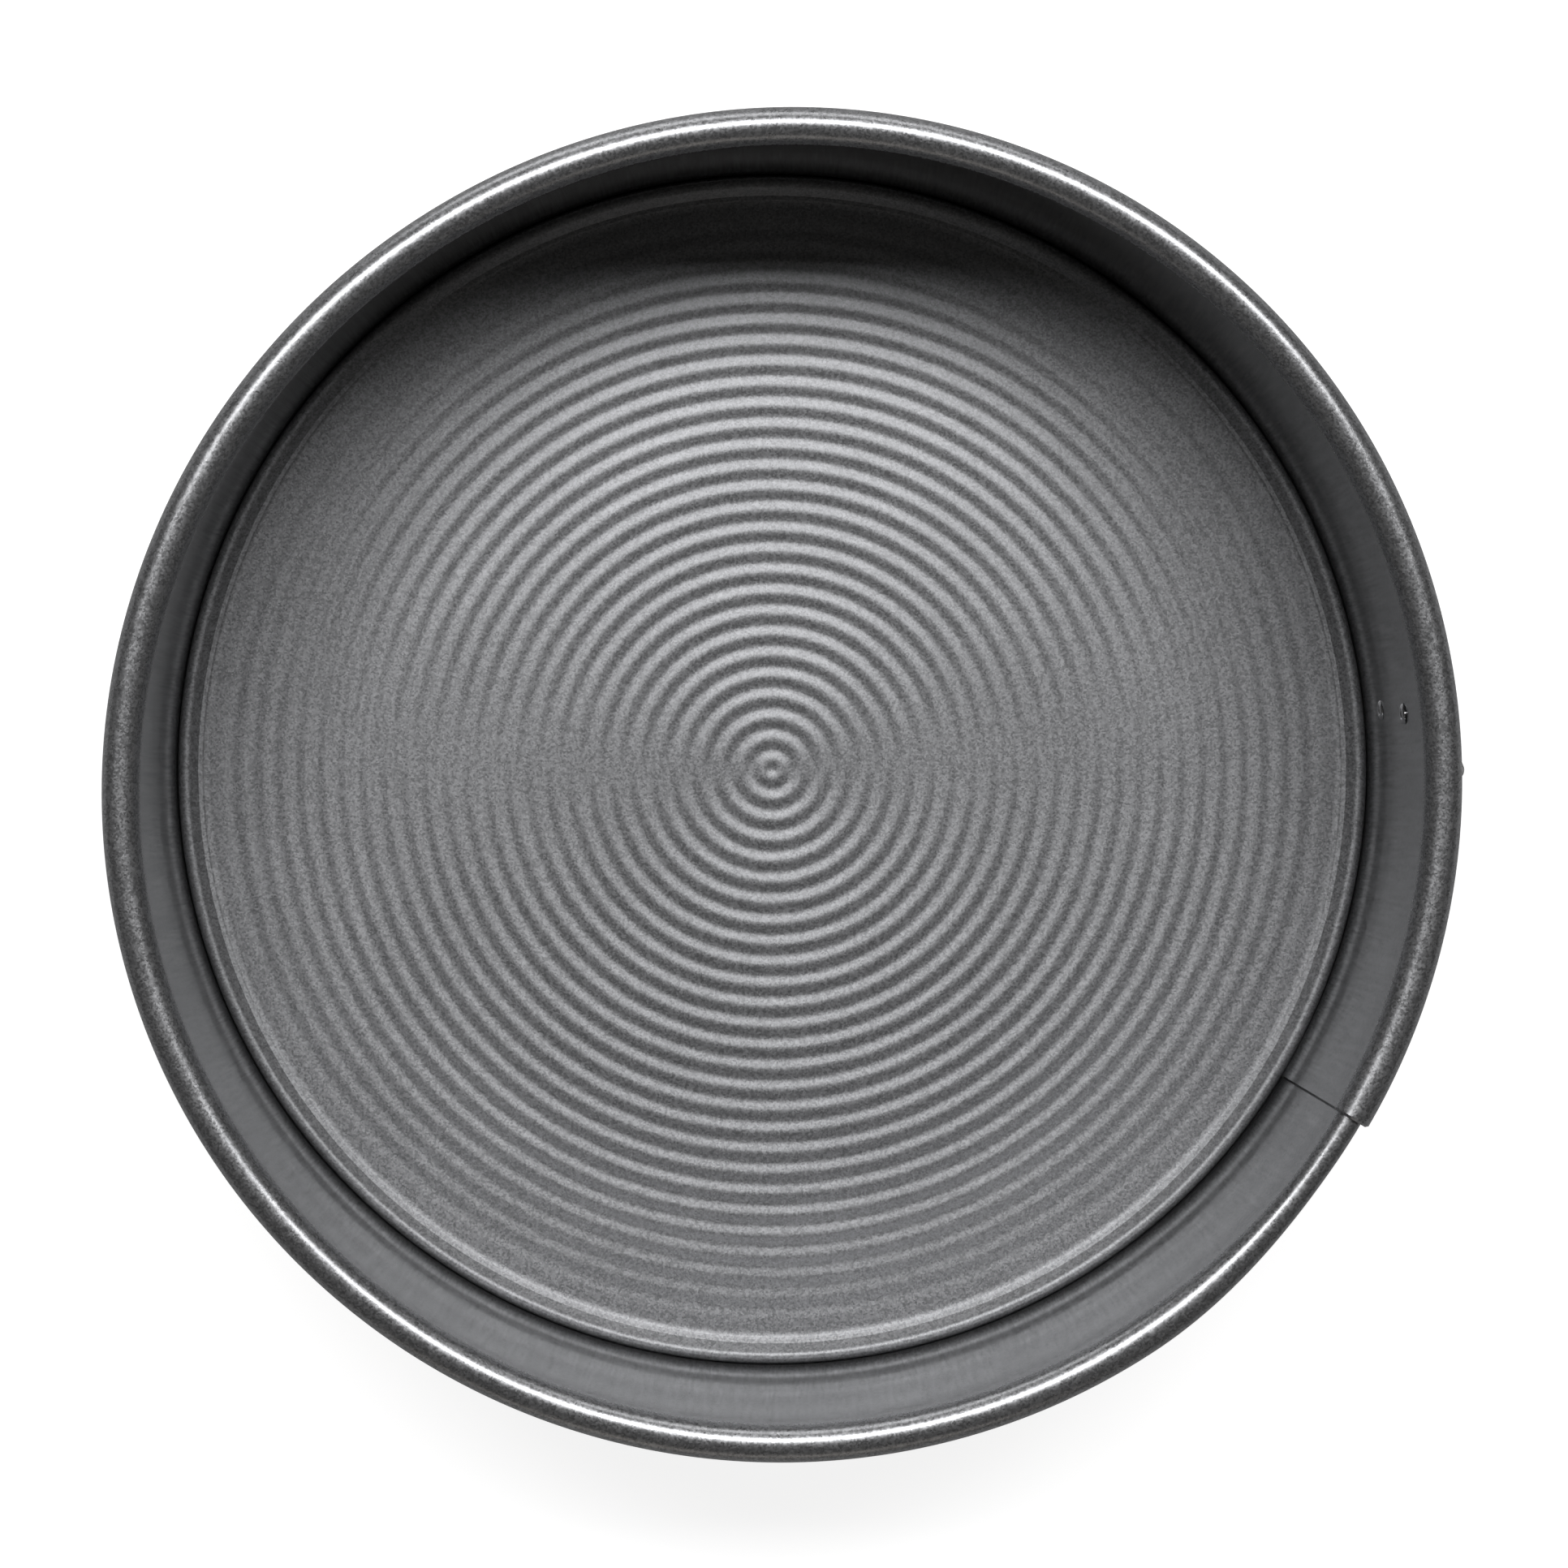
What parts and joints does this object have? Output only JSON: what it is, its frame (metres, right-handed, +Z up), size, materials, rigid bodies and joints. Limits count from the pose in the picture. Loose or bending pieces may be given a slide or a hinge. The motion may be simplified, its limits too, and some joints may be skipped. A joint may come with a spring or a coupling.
{
  "type": "springform pan",
  "caption": "Round springform cake pan with a rolled rim, a ringed lift-out base and an over-centre wire latch that lets the band spring open.",
  "frame": {"origin": "on the pan's axis, at the level of the surface that the foot stands on", "axes": "+Z up along the pan's axis, +X through the latch, +Y towards the lever's tip"},
  "size_m": [0.2487, 0.2446, 0.068],
  "materials": {
    "band_coating": "dark grey non-stick coating with fine metallic speckle, satin to glossy",
    "base_coating": "dark grey non-stick coating with fine metallic speckle, satin",
    "latch_steel": "pressed bright steel, lightly brushed",
    "wire_steel": "bright drawn wire",
    "rivet_steel": "bright turned steel"
  },
  "bodies": {
    "latch_section": {"band_latch_section": "band_coating", "lever_bracket": "latch_steel", "bracket_rivet_upper": "rivet_steel", "bracket_rivet_lower": "rivet_steel", "lever_pin": "rivet_steel"},
    "back_section": {"band_back_section": "band_coating"},
    "keeper_section": {"band_keeper_section": "band_coating", "keeper_plate": "latch_steel", "keeper_rivet_upper": "rivet_steel", "keeper_rivet_lower": "rivet_steel"},
    "base": {"base_plate": "base_coating"},
    "lever": {"lever": "latch_steel"},
    "bail": {"bail": "wire_steel"}
  },
  "joints": [
    {"name": "lever_pivot", "type": "hinge", "parent": "latch_section", "child": "lever", "pos_m": [0.1244, 0.0017, 0.037], "axis": [0, 0, -1], "range_deg": [0, 150]},
    {"name": "bail_pivot", "type": "hinge", "parent": "lever", "child": "bail", "pos_m": [0.12301, 0.00598, 0.037], "axis": [0, 0, 1], "range_deg": [0, 180.05]},
    {"name": "band_flex_front", "type": "hinge", "parent": "latch_section", "child": "back_section", "pos_m": [0, 0.1223, 0.034], "axis": [0, 0, -1], "range_deg": [0, 1.31]},
    {"name": "band_flex_rear", "type": "hinge", "parent": "back_section", "child": "keeper_section", "pos_m": [0, -0.1223, 0.034], "axis": [0, 0, -1], "range_deg": [0, 1.31]},
    {"name": "base_lift", "type": "slide", "parent": "latch_section", "child": "base", "axis": [0, 0, 1], "range_m": [0, 0.08]}
  ],
  "couplings": [
    {"joint": "bail_pivot", "follows": "lever_pivot", "ratio": 1.2},
    {"joint": "band_flex_front", "follows": "lever_pivot", "ratio": 0.0086667},
    {"joint": "band_flex_rear", "follows": "lever_pivot", "ratio": 0.0086667}
  ]
}
